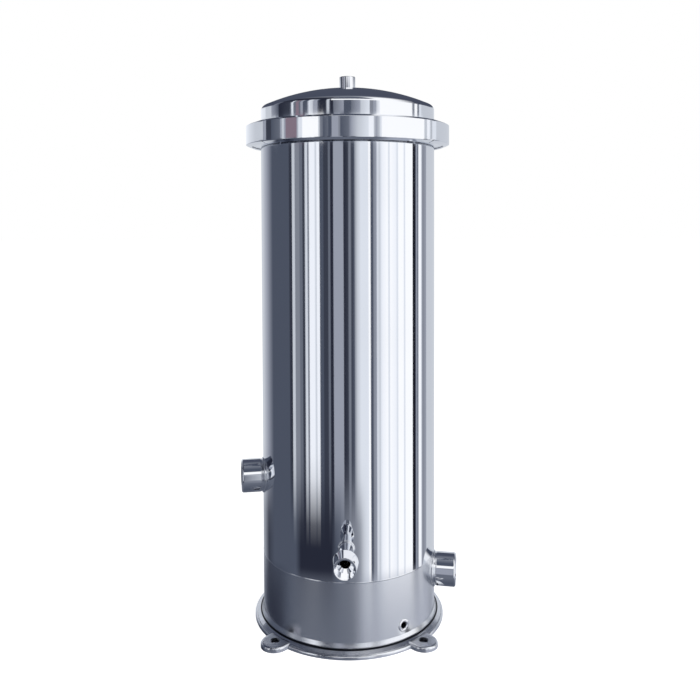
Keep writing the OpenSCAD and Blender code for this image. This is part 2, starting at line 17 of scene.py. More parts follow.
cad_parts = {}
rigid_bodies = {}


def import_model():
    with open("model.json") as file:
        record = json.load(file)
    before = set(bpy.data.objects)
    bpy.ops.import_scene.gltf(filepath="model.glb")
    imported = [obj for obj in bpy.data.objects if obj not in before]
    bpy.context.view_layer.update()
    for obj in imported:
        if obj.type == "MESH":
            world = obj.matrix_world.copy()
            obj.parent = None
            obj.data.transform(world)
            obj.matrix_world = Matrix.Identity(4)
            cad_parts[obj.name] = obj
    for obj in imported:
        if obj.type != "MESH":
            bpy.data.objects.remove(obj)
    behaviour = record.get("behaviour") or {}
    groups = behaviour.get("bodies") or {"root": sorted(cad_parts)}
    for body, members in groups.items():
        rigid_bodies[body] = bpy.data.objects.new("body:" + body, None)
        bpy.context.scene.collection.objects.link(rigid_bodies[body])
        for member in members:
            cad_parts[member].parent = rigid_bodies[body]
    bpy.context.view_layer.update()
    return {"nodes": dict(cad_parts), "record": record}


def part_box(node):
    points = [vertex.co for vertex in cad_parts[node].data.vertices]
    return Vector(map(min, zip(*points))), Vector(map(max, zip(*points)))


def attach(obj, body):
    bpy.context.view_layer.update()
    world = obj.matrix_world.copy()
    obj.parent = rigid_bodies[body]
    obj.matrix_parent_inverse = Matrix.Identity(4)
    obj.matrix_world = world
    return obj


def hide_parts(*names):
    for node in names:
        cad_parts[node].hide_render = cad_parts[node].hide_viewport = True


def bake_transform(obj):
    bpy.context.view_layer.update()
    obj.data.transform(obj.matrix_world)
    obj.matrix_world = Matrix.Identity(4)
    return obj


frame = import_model()
nodes = frame["nodes"]
MM = 0.001

# %% [markdown]
# ## The camera
#
# The photograph looks at the housing from about a metre away. The camera stands
# at three quarters of the housing's height and is hardly tilted, so the vessel's
# sides stay upright. A shift of the lens brings its foot into the frame, and a
# roll of a fifth of a degree follows the slight lean in the photograph.

# %% Camera
PHOTO_WIDTH = 700
SENSOR_WIDTH = 36
FOCAL_PIXELS = 796.2
CAMERA_DISTANCE = 1.0162
CAMERA_HEIGHT = 0.5127
CAMERA_PITCH = math.radians(1.82)
CAMERA_ROLL = math.radians(-0.2)
AXIS_PIXEL_X = 347.9
CENTRE_PIXEL_Y = 237.9


def add_object(name, data):
    """A new object in the scene, from a mesh, a light or a camera."""
    thing = bpy.data.objects.new(name, data)
    bpy.context.scene.collection.objects.link(thing)
    return thing


camera_data = bpy.data.cameras.new("photo_camera")
camera_data.sensor_width = SENSOR_WIDTH
camera_data.lens = SENSOR_WIDTH * FOCAL_PIXELS / PHOTO_WIDTH
camera_data.shift_x = (PHOTO_WIDTH / 2 - AXIS_PIXEL_X) / PHOTO_WIDTH
camera_data.shift_y = (CENTRE_PIXEL_Y - PHOTO_WIDTH / 2) / PHOTO_WIDTH
camera = add_object("photo_camera", camera_data)
camera.matrix_world = (Matrix.Translation((0, -CAMERA_DISTANCE, CAMERA_HEIGHT))
                       @ Matrix.Rotation(math.radians(90) - CAMERA_PITCH, 4, "X")
                       @ Matrix.Rotation(CAMERA_ROLL, 4, "Z"))
bpy.context.scene.camera = camera
bpy.context.scene.view_settings.view_transform = "Standard"
print("lens:", round(camera_data.lens, 2), "mm")

# %% [markdown]
# ## Materials
#
# Polished steel has almost no colour of its own. What makes it look like steel
# is a smooth mirror, broken by the faint upright lines of the polishing wheel.
# So every steel here is one node tree with other numbers: how rough it is, how
# strong its lines are, and which way they run.


# %% Colours and nodes
def srgb(r, g, b):
    """A colour as it is seen, 0 to 255, turned into the light that gives it."""
    def channel(v):
        v = v / 255
        return v / 12.92 if v <= 0.04045 else ((v + 0.055) / 1.055) ** 2.4
    return (channel(r), channel(g), channel(b), 1.0)


def new_material(name):
    material = bpy.data.materials.new(name)
    material.use_nodes = True
    tree = material.node_tree
    shader = tree.nodes["Principled BSDF"]
    return material, tree, shader


def plug(tree, node, sockets):
    """Gives a node's sockets, by name or number, a link from another node or a plain value."""
    for key, source in sockets.items():
        if isinstance(source, bpy.types.NodeSocket):
            tree.links.new(source, node.inputs[key])
        else:
            node.inputs[key].default_value = source


def add_node(tree, kind, sockets=None, **values):
    node = tree.nodes.new(kind)
    for key, value in values.items():
        setattr(node, key, value)
    plug(tree, node, sockets or {})
    return node


# %% Noise, tones and bumps
def grain(tree, scale, detail):
    """Noise on Object coordinates, stretched by a scale for each axis."""
    place = add_node(tree, "ShaderNodeTexCoord").outputs["Object"]
    stretch = add_node(tree, "ShaderNodeMapping", {"Vector": place, "Scale": scale}).outputs["Vector"]
    noise = {"Vector": stretch, "Scale": 1.0, "Detail": detail}
    return add_node(tree, "ShaderNodeTexNoise", noise).outputs["Fac"]


NOISE_RANGE = (0.3, 0.7)


def spread(tree, noise, low, high):
    """Maps the middle of a noise's range to the range from low to high."""
    return add_node(tree, "ShaderNodeMapRange", {
        "Value": noise, "From Min": NOISE_RANGE[0], "From Max": NOISE_RANGE[1],
        "To Min": low, "To Max": high}).outputs["Result"]


def tint(tree, noise, first, second):
    """A colour between two tones, as a noise says."""
    tones = {"Factor": noise, "A": first, "B": second}
    return add_node(tree, "ShaderNodeMix", tones, data_type="RGBA").outputs["Result"]


def relief(tree, noise, depth, strength=1.0):
    """A noise as bumps, with their depth in metres."""
    bumps = {"Height": noise, "Strength": strength, "Distance": depth}
    return add_node(tree, "ShaderNodeBump", bumps).outputs["Normal"]


# %% The steels
CLOUD_SCALE = (9, 9, 9)
CLOUD_DETAIL = 2.0
CLOUD_TONE = 0.94
FINE_DETAIL = 4.0
LINE_STRENGTH = 0.5
STEEL_WHITE = srgb(238, 240, 244)
STEEL_GREY = srgb(222, 224, 230)
# A dark tone for the bead at the skirt's foot, which paints the shade in that corner.
JOINT_SHADE = srgb(34, 37, 44)


def steel(name, colour, rough, lines, line_depth):
    """Steel with a rough range, a stretched grain for its lines, and soft clouds."""
    material, tree, shader = new_material(name)
    clouds = grain(tree, CLOUD_SCALE, CLOUD_DETAIL)
    darker = tuple(CLOUD_TONE * v for v in colour[:3]) + (1.0,)
    plug(tree, shader, {
        "Metallic": 1.0, "Base Color": tint(tree, clouds, colour, darker),
        "Roughness": spread(tree, clouds, *rough),
        "Normal": relief(tree, grain(tree, lines, FINE_DETAIL), line_depth, LINE_STRENGTH)})
    return material


mirror_steel = steel("mirror_steel", STEEL_WHITE, (0.03, 0.06), (260, 260, 3), 0.00001)
skirt_steel = steel("satin_skirt_steel", STEEL_WHITE, (0.21, 0.265), (160, 160, 6), 0.00002)
pressed_steel = steel("pressed_steel", STEEL_WHITE, (0.16, 0.26), (70, 70, 70), 0.0007)
weld_steel = steel("weld_steel", STEEL_WHITE, (0.10, 0.20), (150, 150, 150), 0.00008)
turned_steel = steel("turned_steel", STEEL_GREY, (0.14, 0.24), (40, 40, 900), 0.00004)
inner_steel = steel("inner_satin_steel", STEEL_GREY, (0.29, 0.38), (120, 120, 120), 0.00004)
# Dark steel for the bead at the skirt's foot: painted shade along the joint's corner.
joint_shade_steel = steel("painted_joint_shade", JOINT_SHADE, (0.30, 0.40), (120, 120, 120), 0.00004)
print("steels:", len(bpy.data.materials))

# %% [markdown]
# Rubber, plastic and cord don't mirror the room. They are one more node tree, in
# which the same noise gives both the change of tone and the fine relief.


# %% The soft materials
def soft_material(name, colour, dark, rough, scale, depth):
    """A surface that isn't metal, with a noise for its tone and its relief."""
    material, tree, shader = new_material(name)
    noise = grain(tree, scale, FINE_DETAIL)
    plug(tree, shader, {
        "Base Color": tint(tree, noise, dark, colour), "Roughness": rough,
        "Normal": relief(tree, noise, depth)})
    return material


seal_rubber = soft_material(
    "seal_rubber", srgb(44, 44, 46), srgb(30, 30, 32), 0.55, (300, 300, 300), 0.0001)
white_plastic = soft_material(
    "white_plastic", srgb(232, 233, 230), srgb(218, 220, 218), 0.4, (90, 90, 90), 0.0001)
print("materials:", len(bpy.data.materials))

# %% [markdown]
# ## Lathe work
#
# Nearly every piece of a vessel is turned or rolled, so one function makes them
# all: it spins an outline round an axis. A mirror shows the smallest dent in
# its normals, so the function doesn't leave them to the average of the faces.
# It works them out from the outline itself, and the long walls stay true.


# %% Outlines
SHARP_ANGLE = 40


def filleted(points, steps=6):
    """A closed outline of (r, z, rounding) corners with arcs in place of the corners."""
    outline = []
    count = len(points)
    for i, (r, z, rounding) in enumerate(points):
        corner = Vector((r, z))
        if rounding <= 0:
            outline.append((r, z))
            continue
        before = (Vector(points[i - 1][:2]) - corner).normalized()
        after = (Vector(points[(i + 1) % count][:2]) - corner).normalized()
        half = before.angle(after) / 2
        reach = rounding / math.tan(half)
        centre = corner + (before + after).normalized() * (rounding / math.sin(half))
        start = corner + before * reach - centre
        end = corner + after * reach - centre
        turn = math.atan2(start.x * end.y - start.y * end.x, start.dot(end))
        for k in range(steps + 1):
            a = turn * k / steps
            x = start.x * math.cos(a) - start.y * math.sin(a)
            y = start.x * math.sin(a) + start.y * math.cos(a)
            outline.append((centre.x + x, centre.y + y))
    return outline


def outline_normals(outline):
    """For each segment, the normals at its two ends, in the plane of the outline."""
    sharp = math.radians(SHARP_ANGLE)
    count = len(outline)
    sides = []
    for i in range(count):
        a, b = Vector(outline[i]), Vector(outline[(i + 1) % count])
        run = b - a
        sides.append((Vector((run.y, -run.x)).normalized(), run.length))
    ends = []
    for i in range(count):
        own, size = sides[i]
        pair = []
        for other in (sides[i - 1], sides[(i + 1) % count]):
            if own.angle(other[0], 0.0) < sharp:
                pair.append((own * size + other[0] * other[1]).normalized())
            else:
                pair.append(own)
        ends.append(pair)
    return ends


# %% The lathe
def lathe(name, outline, material, place, steps, start=0.0, sweep=360.0):
    """Spins a closed outline of (r, z) in millimetres round Z and puts it in place."""
    area = sum(a[0] * b[1] - b[0] * a[1] for a, b in zip(outline, outline[1:] + outline[:1]))
    if area < 0:
        outline = outline[::-1]
    place = place or Matrix.Identity(4)
    turn_only = place.to_3x3().normalized()
    whole = sweep >= 360
    rings = steps if whole else steps + 1
    count = len(outline)
    ends = outline_normals(outline)
    angles = [math.radians(start + sweep * k / steps) for k in range(rings)]
    points = []
    for a in angles:
        for r, z in outline:
            points.append(place @ Vector((r * math.cos(a) * MM, r * math.sin(a) * MM, z * MM)))
    faces, normals = [], []
    for k in range(steps):
        n = (k + 1) % rings
        for i in range(count):
            j = (i + 1) % count
            faces.append((k * count + i, n * count + i, n * count + j, k * count + j))
            for angle, side in ((k, 0), (n, 0), (n, 1), (k, 1)):
                flat = ends[i][side]
                a = angles[angle]
                normals.append(turn_only @ Vector((flat.x * math.cos(a), flat.x * math.sin(a), flat.y)))
    if not whole:
        first, last = angles[0], angles[-1]
        faces.append(tuple(range(count)))
        normals += [turn_only @ Vector((math.sin(first), -math.cos(first), 0))] * count
        faces.append(tuple(reversed(range((rings - 1) * count, rings * count))))
        normals += [turn_only @ Vector((-math.sin(last), math.cos(last), 0))] * count
    mesh = bpy.data.meshes.new(name)
    mesh.from_pydata(points, [], faces)
    mesh.shade_smooth()
    mesh.normals_split_custom_set(normals)
    mesh.materials.append(material)
    return add_object(name, mesh)


# %% Where a piece belongs
def finish_piece(piece, body, slot, *replaced):
    """Says which body a piece moves with, and hides the nodes it stands for. Its finish slot is not used."""
    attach(piece, body)
    if replaced:
        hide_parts(*replaced)
    print(piece.name, "rides on", body, "with", len(piece.data.polygons), "faces")


# %% [markdown]
# ## Sizes from the frame
#
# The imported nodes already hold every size. The values below are read from their
# boxes, so the pieces made here sit where the real ones do.


# %% Sizes
X, Y, Z = range(3)


def mm(value):
    return value / MM


def on_circle(r, a, z):
    """The point in metres at a radius, an angle and a height in millimetres."""
    return (r * MM * math.cos(a), r * MM * math.sin(a), z * MM)


def lowest(node, axis):
    """How low a node reaches along an axis, in millimetres."""
    return mm(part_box(node)[0][axis])


def highest(node, axis):
    """How high a node reaches along an axis, in millimetres."""
    return mm(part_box(node)[1][axis])


def middle(node, axis):
    return (lowest(node, axis) + highest(node, axis)) / 2


def width(node, axis):
    return highest(node, axis) - lowest(node, axis)


SHELL_R = highest("shell", X)
BORE_R = highest("bottom_head", X)
WALL = SHELL_R - BORE_R
SEAM_Z = lowest("shell", Z)
BASE_TOP = highest("base_flange", Z)
JOINT_Z = middle("front_strap", Z)
STRAP_R = -lowest("front_strap", Y)
WEB_R = -lowest("front_retainer", Y)
CROWN_Z = highest("head_dome", Z)
VENT_TOP = highest("vent_socket", Z)
print("shell radius", round(SHELL_R, 1), "joint", round(JOINT_Z, 1), "crown", round(CROWN_Z, 1))

# %% [markdown]
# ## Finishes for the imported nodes
#
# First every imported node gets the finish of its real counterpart. Later cells
# put finer pieces in the place of some of them.

# %% Finish of each node
FINISHES = {
    "mirror_steel": mirror_steel,
    "satin_steel": inner_steel,
    "fastener_steel": turned_steel,
    "wound_cord": white_plastic,
    "white_plastic": white_plastic,
    "seal_rubber": seal_rubber,
}
OWN_FINISH = {
    "base_skirt": skirt_steel,
    "base_flange": pressed_steel,
    "shell_flange": mirror_steel,
    "head_flange": mirror_steel,
}
slot_of = {part["node"]: part["material_slot"] for part in frame["record"]["subparts"]}
for name, node in nodes.items():
    finish = OWN_FINISH.get(name, FINISHES[slot_of[name]])
    node.data.materials.clear()
    node.data.materials.append(finish)
print("finished", len(nodes), "nodes")

# %% [markdown]
# ## Geometry Nodes for welds, threads and windings
#
# A weld bead, a screw thread and a wound cord all follow a rule: one small shape
# repeated along a line. Each is a node tree with its sizes as named inputs. The
# helpers build a tree, run it once, and keep the plain mesh that it gives.


# %% Helpers for node trees
class Tree:
    """A geometry tree with named inputs, and short calls for its nodes and links."""

    def __init__(self, name, inputs, takes_geometry):
        self.group = bpy.data.node_groups.new(name, "GeometryNodeTree")
        face = self.group.interface
        if takes_geometry:
            face.new_socket(name="Geometry", in_out="INPUT", socket_type="NodeSocketGeometry")
        self.ids = {}
        for key, kind in inputs.items():
            socket = face.new_socket(name=key, in_out="INPUT", socket_type="NodeSocket" + kind)
            self.ids[key] = socket.identifier
        face.new_socket(name="Geometry", in_out="OUTPUT", socket_type="NodeSocketGeometry")
        self.given = self.group.nodes.new("NodeGroupInput").outputs

    def add(self, kind, sockets=None, **values):
        return add_node(self.group, kind, sockets, **values)

    def math(self, operation, a, b=0.0):
        return self.add("ShaderNodeMath", {0: a, 1: b}, operation=operation).outputs[0]

    def finish(self, geometry):
        """Ends the tree as the export needs it: real mesh, smooth, with its material."""
        real = self.add("GeometryNodeRealizeInstances", {"Geometry": geometry})
        smooth = self.add("GeometryNodeSetShadeSmooth", {"Geometry": real.outputs[0]})
        painted = self.add("GeometryNodeSetMaterial",
                           {"Geometry": smooth.outputs[0], "Material": self.given["Material"]})
        self.add("NodeGroupOutput", {"Geometry": painted.outputs[0]})


# %% Run a tree
def grow(name, tree, values, data=None, place=None):
    """Runs a tree once on a curve or mesh and returns the plain mesh piece."""
    seed = add_object(name + "_seed", data or bpy.data.meshes.new(name + "_seed"))
    modifier = seed.modifiers.new("growth", "NODES")
    modifier.node_group = tree.group
    for key, value in values.items():
        modifier[tree.ids[key]] = value
    seen = seed.evaluated_get(bpy.context.evaluated_depsgraph_get())
    mesh = bpy.data.meshes.new_from_object(seen)
    mesh.name = name
    bpy.data.objects.remove(seed)
    if place is not None:
        mesh.transform(place)
    return add_object(name, mesh)


def path_curve(name, points):
    """A closed curve through points in metres, for a tree to follow."""
    curve = bpy.data.curves.new(name, "CURVE")
    curve.dimensions = "3D"
    spline = curve.splines.new("POLY")
    spline.points.add(len(points) - 1)
    for target, point in zip(spline.points, points):
        target.co = (*point, 1.0)
    spline.use_cyclic_u = True
    return curve


# %% The thread's tree
THREAD_STEPS = 40
THREAD_HEIGHT = 0.64


def thread_tree():
    """A helical ridge with a kite's section, centred on the wall that it stands on."""
    tree = Tree("screw_thread", {
        "Turns": "Float", "Radius": "Float", "Pitch": "Float", "Height": "Float",
        "Material": "Material"}, False)
    given = tree.given
    rise = tree.math("MULTIPLY", given["Turns"], given["Pitch"])
    spiral = tree.add("GeometryNodeCurveSpiral", {
        "Resolution": THREAD_STEPS, "Rotations": given["Turns"], "Start Radius": given["Radius"],
        "End Radius": given["Radius"], "Height": rise})
    upright = tree.add("GeometryNodeSetCurveNormal", {"Curve": spiral.outputs[0]}, mode="Z_UP")
    half_pitch = tree.math("MULTIPLY", given["Pitch"], 0.5)
    section = tree.add("GeometryNodeCurvePrimitiveQuadrilateral", {
        "Width": tree.math("MULTIPLY", given["Height"], 2.0), "Bottom Height": half_pitch,
        "Top Height": half_pitch}, mode="KITE")
    ridge = tree.add("GeometryNodeCurveToMesh", {
        "Curve": upright.outputs[0], "Profile Curve": section.outputs["Curve"], "Fill Caps": True})
    tree.finish(ridge.outputs[0])
    return tree


THREADS = thread_tree()


def thread(name, radius, pitch, length, material, place, slot, body="vessel", share=THREAD_HEIGHT):
    """A thread round the local Z of a place, upwards, whose height is a share of its pitch."""
    piece = grow(name, THREADS, {
        "Turns": length / pitch, "Radius": radius * MM, "Pitch": pitch * MM, "Height": share * pitch * MM,
        "Material": material}, place=place)
    piece.data.shade_flat()
    corners = [place.inverted() @ v.co for v in piece.data.vertices]
    radii = [mm(math.hypot(c.x, c.y)) for c in corners]
    print(name, "from radius", round(min(radii), 2), "to", round(max(radii), 2))
    finish_piece(piece, body, slot)


# %% The weld bead's tree
BEAD_SIDES = 20
BEAD_STEP = 0.2


def bead_tree():
    """A round bead along a curve, which grows thinner and jumps back once for each ripple."""
    tree = Tree("weld_bead", {
        "Radius": "Float", "Ripple": "Float", "Depth": "Float", "Material": "Material"}, True)
    given = tree.given
    step = tree.math("MULTIPLY", given["Ripple"], BEAD_STEP)
    even = tree.add("GeometryNodeResampleCurve", {"Curve": given["Geometry"], "Length": step}, mode="LENGTH")
    run = tree.add("GeometryNodeSplineParameter").outputs["Length"]
    share = tree.math("FRACT", tree.math("DIVIDE", run, given["Ripple"]))
    fall = tree.math("SUBTRACT", 1.0, tree.math("MULTIPLY", share, given["Depth"]))
    thick = tree.add("GeometryNodeSetCurveRadius", {"Curve": even.outputs[0], "Radius": fall})
    section = tree.add("GeometryNodeCurvePrimitiveCircle", {
        "Resolution": BEAD_SIDES, "Radius": given["Radius"]})
    bead = tree.add("GeometryNodeCurveToMesh", {
        "Curve": thick.outputs[0], "Profile Curve": section.outputs["Curve"]})
    tree.finish(bead.outputs[0])
    return tree


BEADS = bead_tree()


def weld(name, points, size, body="vessel", material=weld_steel):
    """A bead along points. Its size is its radius, a ripple's length, and how much a ripple thins it."""
    radius, ripple, depth = size
    values = {"Radius": radius * MM, "Ripple": ripple * MM, "Depth": depth, "Material": material}
    finish_piece(grow(name, BEADS, values, path_curve(name, points)), body, "satin_steel")


def ring_path(radius, z, steps):
    """Points on a level circle round the vessel's axis."""
    return [on_circle(radius, math.tau * k / steps, z) for k in range(steps)]


# %% [markdown]
# ## The ports
#
# Each port is a turned socket with a screw thread inside, welded to the wall on a
# short neck. The sockets are turned on the lathe helper, so their mouths get the
# rounded lips that catch the light, and the thread is a ridge on the bore.

# %% Places round the vessel
def up(z):
    """A step along Z, in millimetres."""
    return Matrix.Translation((0, 0, z * MM))


def outward(turn, z):
    """A place whose Z points out of the vessel at a turn in degrees, at a height."""
    return up(z) @ Matrix.Rotation(math.radians(turn), 4, "Z") @ Matrix.Rotation(math.radians(90), 4, "Y")


ROUND_STEPS = 120
WELD_PROUD = 0.2


def wall_path(turn, z, radius):
    """The curve on which a round neck meets the vessel's wall."""
    place = outward(turn, z)
    wall_r = SHELL_R + WELD_PROUD
    points = []
    for k in range(ROUND_STEPS):
        a = math.tau * k / ROUND_STEPS
        side = radius * math.cos(a)
        out = math.sqrt(wall_r * wall_r - side * side)
        points.append(place @ (Vector((radius * math.sin(a), side, out)) * MM))
    return points


# %% Sizes of the ports
PORT_TURN = 10
PORT_STEPS = 96
PORT_R = 20.5
PORT_END = 137
PORT_START = PORT_END - 24
PORT_LIP = 2.6
PORT_MOUTH_ROUND = 0.3
PORT_PIPE_R = 13.6
PORT_ROOT_R = 16.3
PORT_PITCH = 2.31
PORT_DEPTH = 18
SMALL_EDGE = 0.8
PORT_BOTTOM = PORT_END - PORT_DEPTH
PORT_THREAD = PORT_DEPTH - 3 * SMALL_EDGE
NECK_R = PORT_R - 0.9
NECK_FOOT = BORE_R + 0.4
NECK_FOOT_FLARE = 1.4
NECK_WALL_FLARE = 0.9
NECK_ROUND = 1.0
NECK_WELD = (1.7, 1.5, 0.22)
NECK_WELD_R = NECK_R + 0.6
LAP_WELD = (0.9, 1.2, 0.2)
LAP_WELD_R = NECK_R - 0.1
PORTS = {
    "inlet": (180 + PORT_TURN, middle("inlet_socket", Z)),
    "outlet": (-PORT_TURN, middle("outlet_socket", Z)),
}
print("ports:", {name: [round(v, 1) for v in port] for name, port in PORTS.items()})


# %% Inlet and outlet
def make_port(name, turn, z):
    place = outward(turn, z)
    socket = lathe(name + "_turned_socket", filleted([
        (PORT_PIPE_R, PORT_START, 0), (PORT_R, PORT_START, SMALL_EDGE), (PORT_R, PORT_END, PORT_LIP),
        (PORT_ROOT_R + SMALL_EDGE, PORT_END, PORT_MOUTH_ROUND), (PORT_ROOT_R, PORT_END - SMALL_EDGE, 0),
        (PORT_ROOT_R, PORT_BOTTOM, 0), (PORT_PIPE_R, PORT_BOTTOM, 0)]), mirror_steel, place, PORT_STEPS)
    finish_piece(socket, "vessel", "mirror_steel", name + "_socket")
    thread(name + "_thread", PORT_ROOT_R, PORT_PITCH, PORT_THREAD, turned_steel,
           place @ up(PORT_BOTTOM + SMALL_EDGE), "mirror_steel")
    neck = lathe(name + "_welded_neck", filleted([
        (PORT_PIPE_R, NECK_FOOT, 0), (NECK_R + NECK_FOOT_FLARE, NECK_FOOT, 0),
        (NECK_R + NECK_WALL_FLARE, SHELL_R, NECK_ROUND), (NECK_R, PORT_START, 0),
        (PORT_PIPE_R, PORT_START, 0)]), weld_steel, place, PORT_STEPS)
    finish_piece(neck, "vessel", "satin_steel", name + "_neck")
    weld(name + "_weld", wall_path(turn, z, NECK_WELD_R), NECK_WELD)
    lap_path = [place @ Vector(point) for point in ring_path(LAP_WELD_R, PORT_START, ROUND_STEPS)]
    weld(name + "_lap_weld", lap_path, LAP_WELD)


for name, (turn, z) in PORTS.items():
    make_port(name, turn, z)

# %% [markdown]
# The drain is a thin neck that flares into a stout barrel. Its mouth faces the
# camera, so its thin lip and its threaded bore are on show.

# %% Drain
DRAIN_TURN = -91.6
DRAIN_Z = middle("drain_socket", Z)
DRAIN_PLACE = outward(DRAIN_TURN, DRAIN_Z)
DRAIN_NECK_R = 8.5
DRAIN_PIPE_R = 6.0
DRAIN_START = 140
DRAIN_SHOULDER = 147
DRAIN_SHOULDER_R = 14.8
DRAIN_SLANT = (0.6, 2.4)
DRAIN_MOUTH = 164
DRAIN_MOUTH_R = 12.8
DRAIN_ROOT_R = 11.2
DRAIN_CHAMFER = (0.6, 0.4)
DRAIN_CONE = 150.4
DRAIN_BOTTOM = 147.8
DRAIN_PITCH = 1.81
DRAIN_RIDGE = 0.88
DRAIN_THREAD_FROM = DRAIN_CONE + 1.2
DRAIN_THREAD = DRAIN_MOUTH - DRAIN_CONE - 2.6
DRAIN_WELD = (0.8, 1.3, 0.22)
DRAIN_WELD_R = DRAIN_NECK_R + 0.8

drain = lathe("drain_turned_socket", filleted([
    (DRAIN_PIPE_R, DRAIN_START, 0), (DRAIN_NECK_R, DRAIN_START, 0.4),
    (DRAIN_SHOULDER_R - DRAIN_SLANT[0], DRAIN_SHOULDER - DRAIN_SLANT[1], 1.4),
    (DRAIN_SHOULDER_R, DRAIN_SHOULDER, 1.2), (DRAIN_MOUTH_R, DRAIN_MOUTH, 0.6),
    (DRAIN_ROOT_R + DRAIN_CHAMFER[0], DRAIN_MOUTH, 0.1), (DRAIN_ROOT_R, DRAIN_MOUTH - DRAIN_CHAMFER[1], 0),
    (DRAIN_ROOT_R, DRAIN_CONE, 0), (DRAIN_PIPE_R, DRAIN_BOTTOM, 0)]), mirror_steel, DRAIN_PLACE, PORT_STEPS)
finish_piece(drain, "vessel", "mirror_steel", "drain_socket")
thread("drain_thread", DRAIN_ROOT_R, DRAIN_PITCH, DRAIN_THREAD, mirror_steel,
       DRAIN_PLACE @ up(DRAIN_THREAD_FROM), "mirror_steel", share=DRAIN_RIDGE)
weld("drain_weld", wall_path(DRAIN_TURN, DRAIN_Z, DRAIN_WELD_R), DRAIN_WELD)

# %% [markdown]
# The vent is the smallest socket and stands upright on the crown of the dome. It
# rides on the head, which lifts off.

# %% Vent
VENT_R = 10
VENT_ROOT_R = 6.4
VENT_PIPE_R = VENT_ROOT_R - 0.6
VENT_CHAMFER = 0.5
VENT_PITCH = 1.34
VENT_FOOT = CROWN_Z - WALL + 0.2
VENT_BOTTOM = VENT_TOP - 13
VENT_THREAD = 11
VENT_WELD = (1.4, 1.2, 0.2)
VENT_WELD_R = VENT_R + 0.4
VENT_WELD_Z = CROWN_Z - 0.2

vent = lathe("vent_turned_socket", filleted([
    (VENT_PIPE_R, VENT_FOOT, 0), (VENT_R, VENT_FOOT, 0), (VENT_R, VENT_TOP, SMALL_EDGE),
    (VENT_ROOT_R + VENT_CHAMFER, VENT_TOP, 0.2), (VENT_ROOT_R, VENT_TOP - SMALL_EDGE, 0),
    (VENT_ROOT_R, VENT_BOTTOM, 0), (VENT_PIPE_R, VENT_BOTTOM, 0)]), mirror_steel, None, PORT_STEPS)
finish_piece(vent, "head", "mirror_steel", "vent_socket")
thread("vent_thread", VENT_ROOT_R, VENT_PITCH, VENT_THREAD, turned_steel,
       up(VENT_BOTTOM + SMALL_EDGE), "mirror_steel", "head")
weld("vent_weld", ring_path(VENT_WELD_R, VENT_WELD_Z, ROUND_STEPS), VENT_WELD, "head")

# %% [markdown]
# ## The long seams
#
# The shell stands on the skirt, and the two are welded all round and then
# polished. The bead is wide and low, so only its top stands proud of the wall.
# Another bead joins the skirt to the pressed base. Just outside it the light
# doesn't reach into the corner, so a thin dark bead paints that shade along the joint.

# %% Seams
SEAM_STEPS = 720
SEAM_WELD = (1.6, 1.6, 0.04)
SEAM_PROUD = 0.16
SEAM_WELD_R = SHELL_R + SEAM_PROUD - SEAM_WELD[0]
FOOT_LIP = 1.8
FOOT_WELD = (1.5, 2.2, 0.16)
FOOT_WELD_R = SHELL_R + FOOT_LIP - 0.3
FOOT_WELD_Z = BASE_TOP - 0.4
# A thin dark bead of painted shade in the corner just outside the foot weld.
FOOT_SHADE_BEAD = (1.2, 2.2, 0.05)
FOOT_SHADE_BEAD_R = SHELL_R + FOOT_LIP + 1.3
FOOT_SHADE_BEAD_Z = BASE_TOP - 0.1
weld("shell_seam_weld", ring_path(SEAM_WELD_R, SEAM_Z, SEAM_STEPS), SEAM_WELD)
weld("skirt_foot_weld", ring_path(FOOT_WELD_R, FOOT_WELD_Z, SEAM_STEPS), FOOT_WELD)
weld("skirt_foot_shade_bead", ring_path(FOOT_SHADE_BEAD_R, FOOT_SHADE_BEAD_Z, SEAM_STEPS), FOOT_SHADE_BEAD, material=joint_shade_steel)

# %% [markdown]
# The weep hole in the skirt has a raised, rounded rim. The outline below gives
# radius, height above the wall, and rounding.

# %% Weep hole
WEEP_TURN = -53.8
WEEP_Z = 24.2
WEEP_RIM = [(4.1, -1.2, 0), (8.4, -1.2, 0), (7.6, 0.5, 1.1), (5.4, 0.9, 0.9), (4.1, 0.1, 0.3)]
WEEP_STEPS = 72
weep = lathe("weep_hole_rim", filleted([(r, SHELL_R + rise, rounding) for r, rise, rounding in WEEP_RIM]),
             weld_steel, outward(WEEP_TURN, WEEP_Z), WEEP_STEPS)
finish_piece(weep, "vessel", "satin_steel")

# %% [markdown]
# ## The clamp ring
#
# The ring is a steel band over V-shaped segments, which press the two flanges
# together. The segments are rolled, so their corners are round. Between two
# segments only the thin band goes on, as a short arc; the real band bends there when the ring opens.

# %% Clamp segments
CLAMP_HALF = 12
CLAMP_SLOPE = 0.5
CLAMP_TIP_R = 120.5
CLAMP_THICK = 2.6
CLAMP_TIP_THICK = 1.9
CLAMP_CORNER = 0.7
CLAMP_GROOVE_R = WEB_R - 2.5
SEGMENTS = {
    "front": ("clamp_front", -142, 104),
    "right": ("clamp_arm_right", -37, 107),
    "left": ("clamp_arm_left", 110, 107),
}


def leg_inside(r):
    """Half the height between the legs' inner faces, at a radius."""
    return CLAMP_HALF + CLAMP_SLOPE * (WEB_R - r) - CLAMP_THICK


def segment_outline():
    """The V-shaped channel: the upper half, and the same turned over for the lower one."""
    tip = leg_inside(CLAMP_TIP_R)
    upper = [(CLAMP_GROOVE_R, leg_inside(CLAMP_GROOVE_R), 0), (CLAMP_TIP_R, tip, 0.4),
             (CLAMP_TIP_R, tip + CLAMP_TIP_THICK, 0.6), (WEB_R, CLAMP_HALF, CLAMP_CORNER)]
    lower = [(r, -h, rounding) for r, h, rounding in reversed(upper)]
    return [(r, JOINT_Z + h) for r, h in filleted(upper + lower, 5)]


